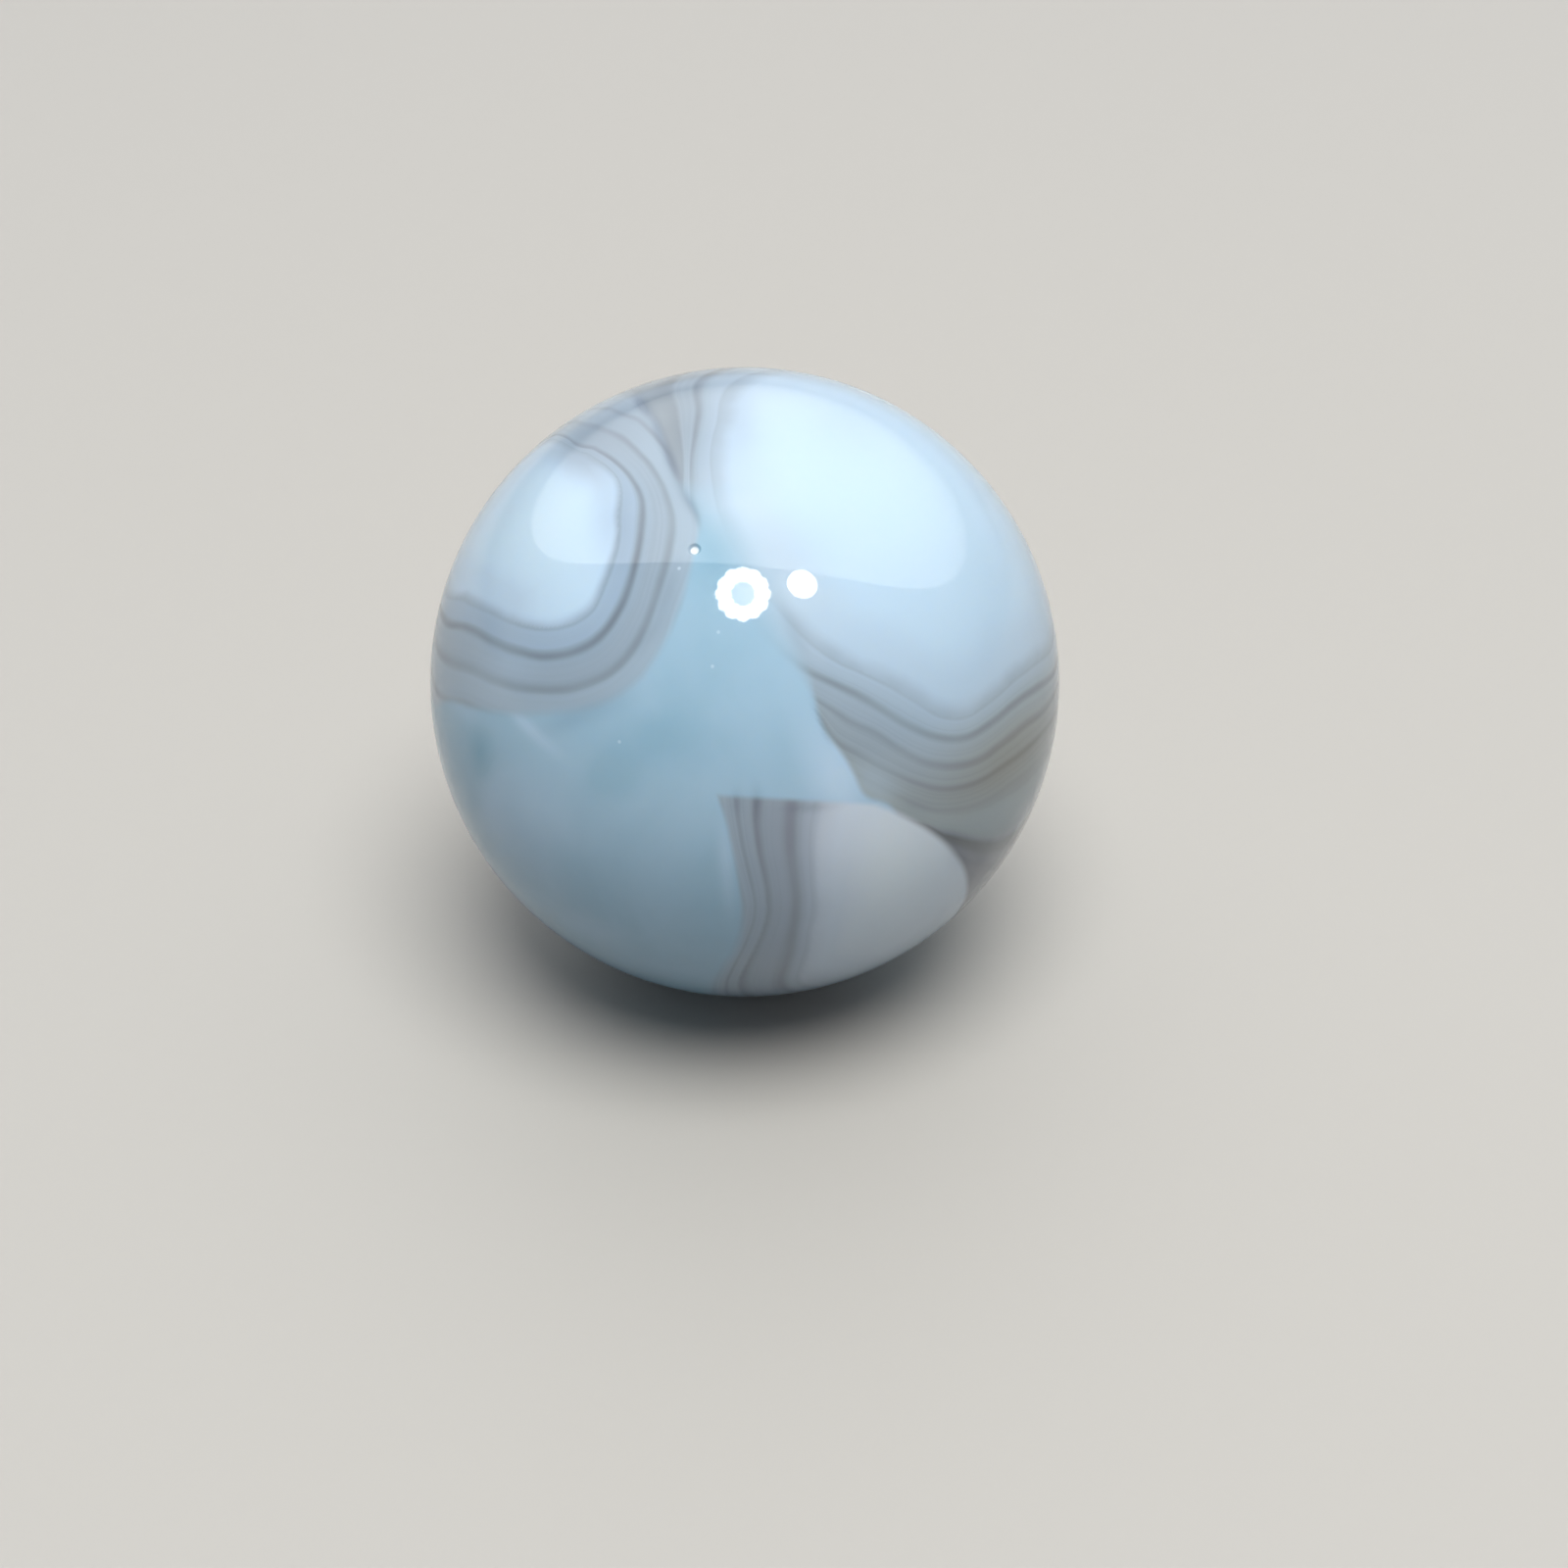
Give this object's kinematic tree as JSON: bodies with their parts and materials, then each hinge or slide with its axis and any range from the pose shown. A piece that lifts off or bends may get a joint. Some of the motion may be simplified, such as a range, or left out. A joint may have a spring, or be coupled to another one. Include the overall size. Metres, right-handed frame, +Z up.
{
  "type": "glass marble",
  "caption": "Solid glass toy marble: a plain polished ball of milky blue-white glass with folded white and grey-brown banded swirls.",
  "frame": {"origin": "centre of the ball", "axes": "+Z up as the marble sits in its seat, -Y towards its front, where the two white banded folds and the cut line between them face the viewer"},
  "size_m": [0.0158, 0.0158, 0.016],
  "materials": {
    "swirled_glass": "polished"
  },
  "bodies": {
    "root": {"marble": "swirled_glass"}
  },
  "joints": []
}
